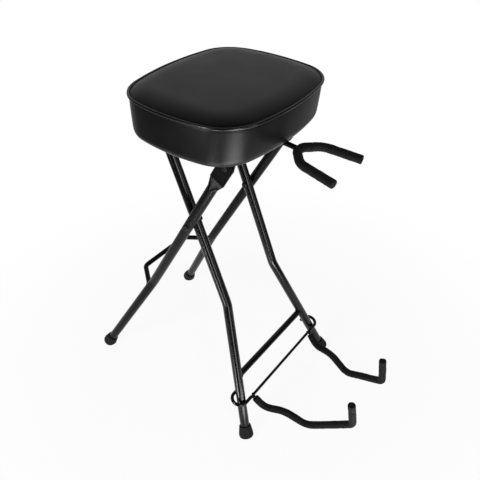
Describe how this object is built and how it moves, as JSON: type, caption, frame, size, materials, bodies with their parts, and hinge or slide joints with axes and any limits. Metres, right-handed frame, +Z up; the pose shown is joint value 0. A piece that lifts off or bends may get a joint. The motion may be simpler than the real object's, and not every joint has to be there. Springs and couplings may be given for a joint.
{
  "type": "guitar stool",
  "caption": "Folding guitarist's stool: padded vinyl seat on crossed black tube legs, with a footrest bar, a forked neck yoke and a hooked cradle for the guitar's body.",
  "frame": {"origin": "middle of the bounding box's base, on the floor", "axes": "+Z up, +X from the footrest to the neck yoke and cradle, left is -Y"},
  "size_m": [0.6282, 0.3318, 0.688],
  "materials": {
    "leg_enamel": "gloss black enamel",
    "rod_enamel": "satin black enamel",
    "plated_steel": "dark plated steel",
    "cap_rubber": "matte moulded rubber",
    "sleeve_foam": "matte closed-cell foam",
    "seat_vinyl": "fine-grained semi-matte vinyl",
    "seat_padding": "open-cell upholstery foam",
    "plywood": "raw plywood"
  },
  "bodies": {
    "outer_frame": {"outer_leg_left": "leg_enamel", "outer_leg_right": "leg_enamel", "footrest_bar": "rod_enamel", "outer_foot_left": "cap_rubber", "outer_foot_right": "cap_rubber", "scissor_rivets": "plated_steel", "scissor_washers": "plated_steel"},
    "inner_frame": {"inner_leg_hoop": "leg_enamel", "inner_brace": "leg_enamel", "inner_foot_left": "cap_rubber", "inner_foot_right": "cap_rubber"},
    "seat": {"seat_board": "plywood", "seat_foam": "seat_padding", "seat_top_panel": "seat_vinyl", "seat_side_band": "seat_vinyl", "seat_welt": "seat_vinyl", "seat_screws": "plated_steel", "hinge_bracket_left": "rod_enamel", "hinge_bracket_right": "rod_enamel", "hinge_pins": "plated_steel", "bar_catch_left": "rod_enamel", "bar_catch_right": "rod_enamel", "yoke_stem": "rod_enamel", "yoke_fork": "rod_enamel", "yoke_sleeve_left": "sleeve_foam", "yoke_sleeve_right": "sleeve_foam", "yoke_clips": "rod_enamel"},
    "cradle": {"cradle_arm_left": "rod_enamel", "cradle_arm_right": "rod_enamel", "cradle_sleeve_left": "sleeve_foam", "cradle_sleeve_right": "sleeve_foam", "cradle_cross_rod": "rod_enamel"}
  },
  "joints": [
    {"name": "leg_fold", "type": "hinge", "parent": "outer_frame", "child": "inner_frame", "pos_m": [-0.05224, 0, 0.441], "axis": [0, 1, 0], "range_deg": [0, 44]},
    {"name": "seat_fold", "type": "hinge", "parent": "outer_frame", "child": "seat", "pos_m": [0.03439, 0, 0.5935], "axis": [0, 1, 0], "range_deg": [0, 118.8]},
    {"name": "cradle_fold", "type": "hinge", "parent": "inner_frame", "child": "cradle", "pos_m": [0.10439, 0, 0.07967], "axis": [0, -1, 0], "range_deg": [0, 60]}
  ],
  "couplings": [
    {"joint": "seat_fold", "follows": "leg_fold", "ratio": 2.7}
  ]
}
